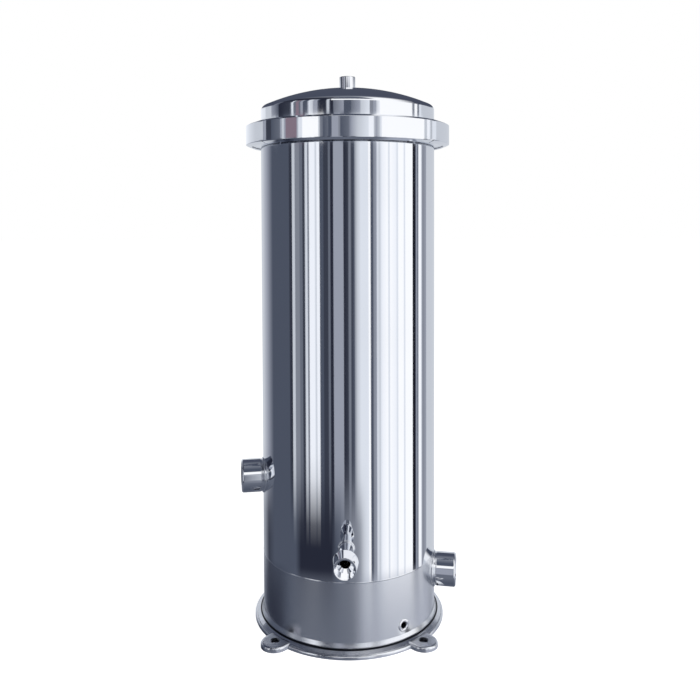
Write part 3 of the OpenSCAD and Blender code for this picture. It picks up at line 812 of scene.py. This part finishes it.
for name, (body, start, sweep) in SEGMENTS.items():
    segment = lathe(name + "_clamp_segment", segment_outline(), mirror_steel, None, sweep, start, sweep)
    finish_piece(segment, body, "mirror_steel", name + "_retainer")

# %% The band's bends
BAND_HALF = 11.2
BAND_PROUD = 0.12
BAND_THICK = 1.0
BAND_ROUND = 0.4
BEND_WIDTH = 5.0
BEND_STEPS = 24
BEND_REACH = 0.8


def make_bend(name, arm, turn):
    """The thin band between two segments, as a short arc of the strap."""
    outer, inner = STRAP_R + BAND_PROUD, STRAP_R - BAND_THICK
    top, bottom = JOINT_Z + BAND_HALF, JOINT_Z - BAND_HALF
    outline = filleted([
        (outer, top, BAND_ROUND), (inner, top, 0), (inner, bottom, 0), (outer, bottom, BAND_ROUND)])
    bend = lathe(name, outline, mirror_steel, None, BEND_STEPS, turn - BEND_WIDTH / 2, BEND_WIDTH)
    ends = [on_circle(STRAP_R, math.radians(turn + reach), JOINT_Z) for reach in (-BEND_REACH, BEND_REACH)]
    if arm == "clamp_arm_left":
        ends.reverse()
    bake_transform(bend)
    print(name, "bends from clamp_front to", arm)


make_bend("right_band_bend", "clamp_arm_right", -37.5)
make_bend("left_band_bend", "clamp_arm_left", -142.5)

# %% [markdown]
# ## The T-bolt and its nut
#
# A T-bolt pulls the ring shut behind the vessel. It is a plain pin crossed by a
# threaded shank. The nut has chamfered corners, as a turned hexagon has.

# %% The T-bolt
BOLT_Y = middle("clamp_nut", Y)
PIN_R = width("t_bolt", Y) / 2
PIN_HALF = width("t_bolt", Z) / 2
LOOP_X = -lowest("t_bolt", X) - PIN_R
BOLT_END = highest("t_bolt", X)
BOLT_R = 4.0
BOLT_ROOT_R = 3.45
BOLT_PITCH = 1.075
BOLT_THREAD = 34
BOLT_RIDGE = BOLT_THREAD - 1.4
BOLT_STEP = 0.6
AXIS_R = 0.01
PIN_STEPS = 64
SHANK_STEPS = 48


def along_x(x):
    """A place whose Z runs along the bolt, from x in millimetres."""
    return (Matrix.Translation((x * MM, BOLT_Y * MM, JOINT_Z * MM))
            @ Matrix.Rotation(math.radians(90), 4, "Y"))


def object_from(build, name, material, sharp):
    """A smooth object from a bmesh. Its edges stay sharp past an angle in degrees."""
    mesh = bpy.data.meshes.new(name)
    build.to_mesh(mesh)
    build.free()
    mesh.materials.append(material)
    mesh.shade_smooth()
    mesh.set_sharp_from_angle(angle=math.radians(sharp))
    return add_object(name, mesh)


def joined(name, *pieces):
    """One piece from several, for a part that is turned in one."""
    build = bmesh.new()
    for piece in pieces:
        build.from_mesh(piece.data)
        bpy.data.objects.remove(piece)
    return object_from(build, name, turned_steel, SHARP_ANGLE)

# %% Turn the T-bolt
pin = lathe("bolt_pin", filleted([
    (AXIS_R, JOINT_Z - PIN_HALF, 0), (PIN_R, JOINT_Z - PIN_HALF, SMALL_EDGE),
    (PIN_R, JOINT_Z + PIN_HALF, SMALL_EDGE), (AXIS_R, JOINT_Z + PIN_HALF, 0)]),
    turned_steel, Matrix.Translation((-LOOP_X * MM, BOLT_Y * MM, 0)), PIN_STEPS)
thread_from = BOLT_END - BOLT_THREAD
shank_end = BOLT_END + LOOP_X
root_from = thread_from + LOOP_X
shank = lathe("bolt_shank", filleted([
    (AXIS_R, 0, 0), (BOLT_R, 0, 0), (BOLT_R, root_from, 0.4), (BOLT_ROOT_R, root_from + BOLT_STEP, 0),
    (BOLT_ROOT_R, shank_end, 0.5), (AXIS_R, shank_end, 0)]), turned_steel, along_x(-LOOP_X), SHANK_STEPS)
t_bolt = joined("t_bolt_turned", pin, shank)
finish_piece(t_bolt, "bolt", "fastener_steel", "t_bolt")
thread("t_bolt_thread", BOLT_ROOT_R, BOLT_PITCH, BOLT_RIDGE, turned_steel,
       along_x(thread_from + BOLT_STEP), "fastener_steel", "bolt")

# %% The clamp nut
NUT_STEPS = 48
NUT_CONE = math.radians(30)
NUT_EDGE = 0.1
NUT_FACE_IN = 0.15
NUT_BORE_EDGE = 0.5
NUT_SHARP = 18
NUT_CORNER_SHARE = 0.565


def hex_nut(name, across, corner_r, height, bore):
    """A nut: a hexagon whose corners are cut by two cones, with a chamfered bore."""
    build = bmesh.new()
    turns = [math.tau * k / NUT_STEPS for k in range(NUT_STEPS)]

    def ring(points):
        return [build.verts.new(on_circle(*point)) for point in points]

    sides, drops = [], []
    for a in turns:
        reach = across / 2 / math.cos((a + math.pi / 6) % (math.pi / 3) - math.pi / 6)
        sides.append(min(reach, corner_r))
        drops.append((sides[-1] - across / 2) * math.tan(NUT_CONE) + NUT_EDGE)
    face_r = across / 2 - NUT_FACE_IN
    rings = [
        ring([(face_r, a, 0) for a in turns]),
        ring([(r, a, drop) for r, a, drop in zip(sides, turns, drops)]),
        ring([(r, a, height - drop) for r, a, drop in zip(sides, turns, drops)]),
        ring([(face_r, a, height) for a in turns]),
    ]
    wide = bore + NUT_BORE_EDGE
    for r, z in ((wide, height), (bore, height - NUT_BORE_EDGE), (bore, NUT_BORE_EDGE), (wide, 0)):
        rings.append(ring([(r, a, z) for a in turns]))
    for below, above in zip(rings, rings[1:] + rings[:1]):
        for k in range(NUT_STEPS):
            n = (k + 1) % NUT_STEPS
            build.faces.new((below[k], below[n], above[n], above[k]))
    bmesh.ops.recalc_face_normals(build, faces=build.faces)
    return object_from(build, name, turned_steel, NUT_SHARP)


NUT_AF = min(width("clamp_nut", Z), width("clamp_nut", Y))
NUT_CORNER_R = NUT_CORNER_SHARE * NUT_AF
NUT_BORE_R = BOLT_R + 0.08
NUT_TURN = 30 if width("clamp_nut", Z) < width("clamp_nut", Y) else 0
clamp_nut = hex_nut("clamp_hex_nut", NUT_AF, NUT_CORNER_R, width("clamp_nut", X), NUT_BORE_R)
clamp_nut.data.transform(
    along_x(lowest("clamp_nut", X)) @ Matrix.Rotation(math.radians(NUT_TURN), 4, "Z"))
finish_piece(clamp_nut, "bolt_nut", "fastener_steel", "clamp_nut")

# %% [markdown]
# ## The cartridges
#
# Each cartridge is cord wound to and fro over a core, so its side shows rows of
# small diamonds. The relief is real: a tree moves every point of a fine tube by
# the higher of two crossing helices, and the finer cord is a bump on top of it.

# %% The winding's tree
def winding_tree():
    """Moves each point of a tube on an upright axis outwards, as two crossed windings would."""
    tree = Tree("wound_cord_relief", {
        "Axis X": "Float", "Axis Y": "Float", "Starts": "Float", "Lead": "Float", "Relief": "Float",
        "Material": "Material"}, True)
    given = tree.given
    place = tree.add("GeometryNodeInputPosition").outputs[0]
    parts = tree.add("ShaderNodeSeparateXYZ", {0: place}).outputs
    side = tree.math("SUBTRACT", parts["X"], given["Axis X"])
    front = tree.math("SUBTRACT", parts["Y"], given["Axis Y"])
    around = tree.math("MULTIPLY", tree.math("ARCTAN2", front, side), given["Starts"])
    climb = tree.math("MULTIPLY", tree.math("DIVIDE", parts["Z"], given["Lead"]), math.tau)
    right = tree.math("SINE", tree.math("ADD", around, climb))
    left = tree.math("SINE", tree.math("SUBTRACT", around, climb))
    lift = tree.math("MULTIPLY", tree.math("MAXIMUM", right, left), given["Relief"])
    away = tree.add("ShaderNodeCombineXYZ", {"X": side, "Y": front, "Z": 0.0}).outputs[0]
    unit = tree.add("ShaderNodeVectorMath", {0: away}, operation="NORMALIZE").outputs[0]
    shift = tree.add("ShaderNodeVectorMath", {0: unit, "Scale": lift}, operation="SCALE").outputs[0]
    moved = tree.add("GeometryNodeSetPosition", {"Geometry": given["Geometry"], "Offset": shift})
    tree.finish(moved.outputs[0])
    return tree


WINDING = winding_tree()
CORD_STARTS = 14.0
CORD_LEAD = 18.0
CORD_RELIEF = 0.45
CORD_SHOULDER = 5.0
CORD_END_IN = 1.5
CORE_GAP = 0.1
TUBE_AROUND = 112
TUBE_ROWS = 170
wound_cord = soft_material(
    "wound_cord", srgb(240, 238, 230), srgb(214, 210, 198), 0.85, (700, 700, 1500), 0.0004)


# %% Wind the cartridges
def wound_tube(name, centre, radius, inner, low, high):
    """A fine tube on an axis, with shoulders and flat ends, as points for the tree to move."""
    profile = [(inner, low), (radius - CORD_END_IN, low), (radius, low + CORD_SHOULDER)]
    span = high - low - 2 * CORD_SHOULDER
    profile += [(radius, low + CORD_SHOULDER + span * k / TUBE_ROWS) for k in range(1, TUBE_ROWS)]
    profile += [(radius, high - CORD_SHOULDER), (radius - CORD_END_IN, high), (inner, high)]
    points, faces = [], []
    for r, z in profile:
        for k in range(TUBE_AROUND):
            a = math.tau * k / TUBE_AROUND
            points.append((centre[0] + r * MM * math.cos(a), centre[1] + r * MM * math.sin(a), z * MM))
    count = len(profile)
    for row in range(count):
        here, above = row * TUBE_AROUND, (row + 1) % count * TUBE_AROUND
        for k in range(TUBE_AROUND):
            n = (k + 1) % TUBE_AROUND
            faces.append((here + k, here + n, above + n, above + k))
    mesh = bpy.data.meshes.new(name)
    mesh.from_pydata(points, [], faces)
    return mesh


def make_cartridge(number):
    node = "cartridge_%d" % number
    centre = (middle(node, X) * MM, middle(node, Y) * MM)
    radius = width(node, X) / 2 - CORD_RELIEF
    inner = width("core_%d" % number, X) / 2 + CORE_GAP
    tube = wound_tube(node + "_tube", centre, radius, inner, lowest(node, Z), highest(node, Z))
    piece = grow("wound_" + node, WINDING, {
        "Axis X": centre[0], "Axis Y": centre[1], "Starts": CORD_STARTS, "Lead": CORD_LEAD * MM,
        "Relief": CORD_RELIEF * MM, "Material": wound_cord}, tube)
    finish_piece(piece, "vessel", "wound_cord", node)


for number in range(1, 8):
    make_cartridge(number)

# %% [markdown]
# ## Tie rods and their nuts
#
# Three rods hold the cartridges down. Their upper ends are threaded for the nuts.

# %% Threads of the tie rods
ROD_PITCH = 1.125
ROD_ROOT_IN = 0.28
ROD_END = 0.6
ROD_THREAD_Z = lowest("hold_down_plate", Z) - 8
for number in range(1, 4):
    rod = "tie_rod_%d" % number
    foot = Vector((middle(rod, X), middle(rod, Y), ROD_THREAD_Z)) * MM
    length = highest(rod, Z) - ROD_THREAD_Z - ROD_END
    thread(rod + "_thread", width(rod, X) / 2 - ROD_ROOT_IN, ROD_PITCH, length, turned_steel,
           Matrix.Translation(foot), "fastener_steel")

# %% [markdown]
# ## The studio that the steel mirrors
#
# A polished tube shows everything that stands round it, squeezed into upright
# stripes. In the photograph those stripes are the studio: white screens, grey
# walls and the dark gaps between them. The tent below is that room. It is a
# wide drum with a lid and a bottom, and only reflections can see it. Each panel
# is an angle, seen from above, with zero towards the camera and minus to the
# left. Steel gives back a little less light than it gets, so the tent shines
# that much more brightly than its tones say.

# %% The tent's tones
STEEL_SHARE = 0.86
WHITE = srgb(254, 254, 255)
BRIGHT = srgb(241, 243, 248)
PALE = srgb(222, 226, 233)
LIGHT = srgb(196, 200, 207)
ASH = srgb(172, 176, 188)
MIST = srgb(152, 156, 168)
GREY = srgb(128, 132, 142)
STONE = srgb(103, 108, 120)
SLATE = srgb(76, 82, 96)
DUSK = srgb(57, 61, 73)
NIGHT = srgb(38, 41, 54)
INK = srgb(24, 26, 36)
ROSE = srgb(130, 114, 126)

# %% [markdown]
# The shell, the clamp ring and the head stand at three heights, so each sees its
# own storey of the room. A panel is the angle at which it starts, its tone there
# and, if it changes on the way, its tone where the next panel starts.

# %% The tent's panels
SHELL_PANELS = [
    (-180, LIGHT), (-150, LIGHT, MIST), (-131, MIST, SLATE), (-114, SLATE), (-80, DUSK, NIGHT),
    (-75, LIGHT), (-70.5, GREY), (-63.5, STONE), (-59, DUSK), (-55.5, LIGHT, PALE), (-52, GREY),
    (-49.5, BRIGHT), (-42, PALE, LIGHT), (-39.5, BRIGHT), (-35.5, SLATE), (-30.5, DUSK),
    (-24.5, STONE), (-21.8, NIGHT), (-18, MIST), (-5.5, NIGHT, DUSK), (0.5, STONE, GREY),
    (3.2, STONE, DUSK), (5, DUSK, SLATE), (8, GREY, LIGHT), (11.5, LIGHT, PALE), (16, PALE),
    (25.5, WHITE), (28.2, SLATE), (31.5, GREY, MIST), (36.2, PALE, LIGHT), (41, PALE, BRIGHT),
    (44, BRIGHT, WHITE), (51.5, PALE), (54, WHITE, BRIGHT), (63.5, PALE), (66.2, WHITE), (75, PALE),
    (77.5, WHITE), (90.5, INK), (96, STONE), (97.8, MIST), (100, SLATE, STONE), (102, LIGHT, WHITE),
    (104, WHITE, BRIGHT), (109, LIGHT, MIST), (111.5, GREY, MIST), (122, LIGHT),
]
RING_PANELS = [
    (-180, BRIGHT, PALE), (-146, PALE, LIGHT), (-121, LIGHT), (-104, MIST), (-98.5, DUSK),
    (-90, SLATE, STONE), (-76.5, MIST), (-74, LIGHT), (-71, MIST), (-69, ROSE), (-55, MIST, LIGHT),
    (-53, PALE), (-48.5, WHITE), (-30.5, LIGHT), (-29, GREY, STONE), (-25.5, SLATE, STONE),
    (-20, SLATE), (-16.5, MIST), (-9.5, GREY), (-7.5, SLATE, STONE), (1, STONE, MIST),
    (4, MIST, LIGHT), (11, LIGHT, PALE), (22, BRIGHT), (27.5, LIGHT, MIST), (30, MIST, LIGHT),
    (34, PALE), (36, WHITE), (90.5, LIGHT), (95, BRIGHT), (100, LIGHT), (104.5, PALE),
    (112.5, LIGHT),
]
HEAD_PANELS = [
    (-180, BRIGHT, PALE), (-133, LIGHT), (-115, MIST, SLATE), (-98, NIGHT, DUSK), (-77, STONE),
    (-75, PALE), (-71.7, STONE), (-68, ROSE), (-63.5, STONE), (-61, MIST), (-57.5, SLATE),
    (-51, MIST), (-49.5, PALE, LIGHT), (-43.5, MIST), (-37.5, SLATE, DUSK), (-35, NIGHT),
    (-26.5, GREY), (-25.5, LIGHT), (-22.5, STONE), (-21.5, NIGHT), (-17.5, STONE, GREY),
    (-12, GREY, MIST), (-4.5, SLATE), (4.5, STONE, MIST), (15, MIST, LIGHT), (17, LIGHT, PALE),
    (27.5, GREY), (32, MIST), (36, LIGHT, BRIGHT), (41, WHITE), (90, GREY), (94.5, WHITE),
    (100, GREY, STONE), (104, PALE), (109, LIGHT), (150, LIGHT, PALE),
]
RING_FROM = 0.765
HEAD_FROM = 0.86
PANEL_BLUR = 0.35
print("panels:", len(SHELL_PANELS), len(RING_PANELS), len(HEAD_PANELS))

# %% [markdown]
# Under the panels the room goes on. From the back on the left to just past the
# middle, the screens are in shade low down. Then come the ground and a plain grey
# under it. Over the panels the room is white in front and dark behind. On the left
# the screens stand higher and end in the dark, and high over the middle it turns
# slate, so that the clamp's slanted legs don't mirror a white band. Each pair of
# heights in metres, or of angles, is where a change starts and where it ends.

# %% The rest of the room
SHADE_TONES = [
    (-180, LIGHT), (-145, GREY), (-131, DUSK), (-113, SLATE), (-72, SLATE), (-64, NIGHT),
    (-22, NIGHT), (-15, SLATE), (-8, STONE), (7, GREY), (15, GREY), (25, LIGHT),
]
FLOOR_TONES = [
    (-180, LIGHT), (-150, STONE), (-138, DUSK), (-122, NIGHT), (-100, NIGHT), (-84, SLATE),
    (-60, STONE), (7, STONE), (20, ASH), (60, ASH), (125, ASH), (134, GREY), (150, ASH),
    (180, LIGHT),
]
SHADE_FADE = (-0.66, -0.36)
SHADE_SIDES = (8, 30)
FLOOR_FADE = (-0.85, -0.79)
UNDER_FADE = (-1.35, -1.15)
BACK_HAZE = srgb(70, 75, 90)
BACK_FROM = (60, 110)
HIGH_FADE = (0.96, 1.06)
LEFT_RISE = 1.25
LEFT_SIDES = ((-112, -98), (-24, -19))
CENTRE_SIDES = ((-24, -19), (30, 42))
SKY_FADE = (1.72, 1.92)


# %% Mix the tones
def soft_step(edge, value):
    """From 0 to 1 without a corner, as a value passes from an edge's start to its end."""
    t = min(max((value - edge[0]) / (edge[1] - edge[0]), 0.0), 1.0)
    return t * t * (3 - 2 * t)


def between(sides, value):
    """1 between two soft edges and 0 outside them."""
    return soft_step(sides[0], value) - soft_step(sides[1], value)


def mix(a, b, t):
    t = min(max(t, 0.0), 1.0)
    return tuple(u + (v - u) * t for u, v in zip(a, b))


def panel_colour(panels, angle):
    """The tone of the panel at an angle, with soft edges between neighbours."""
    colour = panels[0][1]
    for k, panel in enumerate(panels):
        start, first, last = panel[0], panel[1], panel[-1]
        if start - PANEL_BLUR > angle:
            break
        end = panels[k + 1][0] if k + 1 < len(panels) else 180
        own = mix(first, last, (angle - start) / (end - start))
        colour = mix(colour, own, soft_step((start - PANEL_BLUR, start + PANEL_BLUR), angle))
    return colour


def tone_between(tones, angle):
    """The tone at an angle between the named ones."""
    for (start, first), (end, last) in zip(tones, tones[1:]):
        if start <= angle <= end:
            return mix(first, last, (angle - start) / (end - start))
    return tones[-1][1]


def column_tones(angle):
    """A column's panels, shade, ground, high tone and sky, and how much higher the high tone starts."""
    panels = [panel_colour(storey, angle) for storey in (SHELL_PANELS, RING_PANELS, HEAD_PANELS)]
    shade = mix(tone_between(SHADE_TONES, angle), panels[0], soft_step(SHADE_SIDES, angle))
    left = between(LEFT_SIDES, angle)
    high = mix(mix(WHITE, BACK_HAZE, soft_step(BACK_FROM, abs(angle))), NIGHT, left)
    sky = mix(high, SLATE, between(CENTRE_SIDES, angle))
    return panels, shade, tone_between(FLOOR_TONES, angle), high, sky, left * LEFT_RISE


def tent_colour(tones, z):
    """The light of the tent in one column, at a height in metres."""
    panels, shade, ground, high, sky, rise = tones
    colour = panels[(z > RING_FROM) + (z > HEAD_FROM)]
    colour = mix(colour, shade, 1 - soft_step(SHADE_FADE, z))
    colour = mix(colour, ground, 1 - soft_step(FLOOR_FADE, z))
    colour = mix(colour, STONE, 1 - soft_step(UNDER_FADE, z))
    colour = mix(colour, high, soft_step(HIGH_FADE, z - rise))
    return mix(colour, sky, soft_step(SKY_FADE, z))


# %% [markdown]
# The drum is a fine grid of points, each with its own tone. Between the storeys
# two rows lie close together, so that the change is sharp. The lid and the bottom
# run from the rims to a point in the middle.

# %% Build the tent
TENT_RADIUS = 2.0
TENT_LOW = -1.6
TENT_TOP = 3.4
TENT_STEP = 0.25
TENT_ROWS = 60
STOREY_GAP = 0.002
COLUMNS = [-180 + TENT_STEP * k for k in range(round(360 / TENT_STEP) + 1)]


def tent_mesh():
    points, colours, faces = [], [], []
    rows = [TENT_LOW + (TENT_TOP - TENT_LOW) * k / TENT_ROWS for k in range(TENT_ROWS + 1)]
    for edge in (RING_FROM, HEAD_FROM):
        rows += [edge - STOREY_GAP, edge + STOREY_GAP]
    rows.sort()
    tones = [column_tones(angle) for angle in COLUMNS]
    for z in rows:
        for angle, tone in zip(COLUMNS, tones):
            a = math.radians(angle)
            points.append((TENT_RADIUS * math.sin(a), -TENT_RADIUS * math.cos(a), z))
            colours.append(tent_colour(tone, z))
    wide = len(COLUMNS)
    for k in range(len(rows) - 1):
        for i in range(wide - 1):
            faces.append((k * wide + i, k * wide + i + 1, (k + 1) * wide + i + 1, (k + 1) * wide + i))
    for z, tone, rim in ((TENT_LOW, SLATE, 0), (TENT_TOP, GREY, (len(rows) - 1) * wide)):
        points.append((0, 0, z))
        colours.append(tone)
        faces += [(rim + i, rim + i + 1, len(points) - 1) for i in range(wide - 1)]
    mesh = bpy.data.meshes.new("mirror_tent")
    mesh.from_pydata(points, [], faces)
    layer = mesh.color_attributes.new("light", "FLOAT_COLOR", "POINT")
    layer.data.foreach_set("color", [channel for colour in colours for channel in colour])
    return mesh


def tent_light():
    """A light of its own for each point, from the mesh's colours."""
    material = bpy.data.materials.new("tent_light")
    material.use_nodes = True
    tree = material.node_tree
    tree.nodes.clear()
    tones = add_node(tree, "ShaderNodeAttribute", attribute_name="light").outputs["Color"]
    glow = add_node(tree, "ShaderNodeEmission", {"Color": tones, "Strength": 1 / STEEL_SHARE})
    add_node(tree, "ShaderNodeOutputMaterial", {"Surface": glow.outputs["Emission"]})
    return material


tent = add_object("mirror_tent", tent_mesh())
tent.data.materials.append(tent_light())
for ray in ("camera", "diffuse", "shadow", "transmission", "volume_scatter"):
    setattr(tent, "visible_" + ray, False)
print("tent:", len(tent.data.polygons), "faces")

# %% [markdown]
# ## Floor, backdrop and lights
#
# The photograph's ground is plain white. The floor here glows almost white, so
# only a faint shadow shows on it. Two wide soft lights light the parts that
# aren't mirrors, such as rubber and cord.

# %% Floor
PLAIN_WHITE = (1.0, 1.0, 1.0, 1.0)


def matte_paint(name, colour, glow=0.0):
    """A paint with no gloss, which may also glow by itself."""
    material, tree, shader = new_material(name)
    plug(tree, shader, {
        "Base Color": colour, "Roughness": 1.0, "Specular IOR Level": 0.0,
        "Emission Color": PLAIN_WHITE, "Emission Strength": glow})
    return material


FLOOR_PALE = (0.8, 0.8, 0.8, 1.0)
FLOOR_GLOW = 0.82
FLOOR_SIZE = 14.0
floor_mesh = bpy.data.meshes.new("studio_floor")
corners = [(x * FLOOR_SIZE, y * FLOOR_SIZE, 0) for x, y in ((-1, -1), (1, -1), (1, 1), (-1, 1))]
floor_mesh.from_pydata(corners, [], [(0, 1, 2, 3)])
floor_mesh.materials.append(matte_paint("floor_paint", FLOOR_PALE, FLOOR_GLOW))
floor = add_object("studio_floor", floor_mesh)
floor.visible_glossy = False
print("floor:", 2 * FLOOR_SIZE, "m wide")

# %% [markdown]
# The bolt holes and the weep hole look into the dark under the vessel. A bright
# floor would shine through them, so dark sheets lie under the bore and the ears.

# %% Dark under the openings
EAR_RING_R = 124.5
EAR_HOLE_R = 5.6
UNDER_BORE_R = 97
SPOT_Z = 0.3
SPOT_STEPS = 64
dark = bmesh.new()
spots = [(0, 0, UNDER_BORE_R)]
for turn in (45, 135, 225, 315):
    spots.append((EAR_RING_R, math.radians(turn), EAR_HOLE_R))
for r, a, hole_r in spots:
    bmesh.ops.create_circle(dark, cap_ends=True, segments=SPOT_STEPS, radius=hole_r * MM,
                            matrix=Matrix.Translation(on_circle(r, a, SPOT_Z)))
shade_mesh = bpy.data.meshes.new("floor_shade")
dark.to_mesh(shade_mesh)
dark.free()
shade_mesh.materials.append(matte_paint("floor_shade", srgb(20, 22, 28)))
floor_shade = add_object("floor_shade", shade_mesh)
print("dark sheets:", len(spots))

# %% [markdown]
# The sky is white for the camera and for reflections, and dim for all else, so
# that it doesn't wash out the soft lights.

# %% Backdrop
DIM_SKY = 0.25
WHITE_SKY = 1.0
world = bpy.data.worlds.new("white_backdrop")
bpy.context.scene.world = world
world.use_nodes = True
tree = world.node_tree
tree.nodes.clear()
path = add_node(tree, "ShaderNodeLightPath")
seen = path.outputs["Is Camera Ray"]
for ray in ("Is Glossy Ray", "Is Transmission Ray"):
    either = {0: seen, 1: path.outputs[ray]}
    seen = add_node(tree, "ShaderNodeMath", either, operation="MAXIMUM").outputs[0]
skies = {"Fac": seen}
for number, strength in ((1, DIM_SKY), (2, WHITE_SKY)):
    sky = add_node(tree, "ShaderNodeBackground", {"Color": PLAIN_WHITE, "Strength": strength})
    skies[number] = sky.outputs[0]
choose = add_node(tree, "ShaderNodeMixShader", skies)
add_node(tree, "ShaderNodeOutputWorld", {"Surface": choose.outputs[0]})


# %% Lights
def soft_light(name, place, target, size, power):
    """A wide lamp at a place, aimed at a target, that mirrors don't show."""
    data = bpy.data.lights.new(name, "AREA")
    data.shape = "RECTANGLE"
    data.size, data.size_y = size
    data.energy = power
    lamp = add_object(name, data)
    lamp.location = place
    aim = Vector(target) - Vector(place)
    lamp.rotation_euler = aim.to_track_quat("-Z", "Y").to_euler()
    lamp.visible_glossy = False
    lamp.visible_camera = False
    print(name, "has", power, "watts")


soft_light("overhead_light", (0.2, -0.3, 1.6), (0, 0, 0), (1.6, 1.6), 9)
soft_light("side_light", (1.3, -1.0, 1.0), (0, 0, 0.35), (1.0, 1.4), 6)
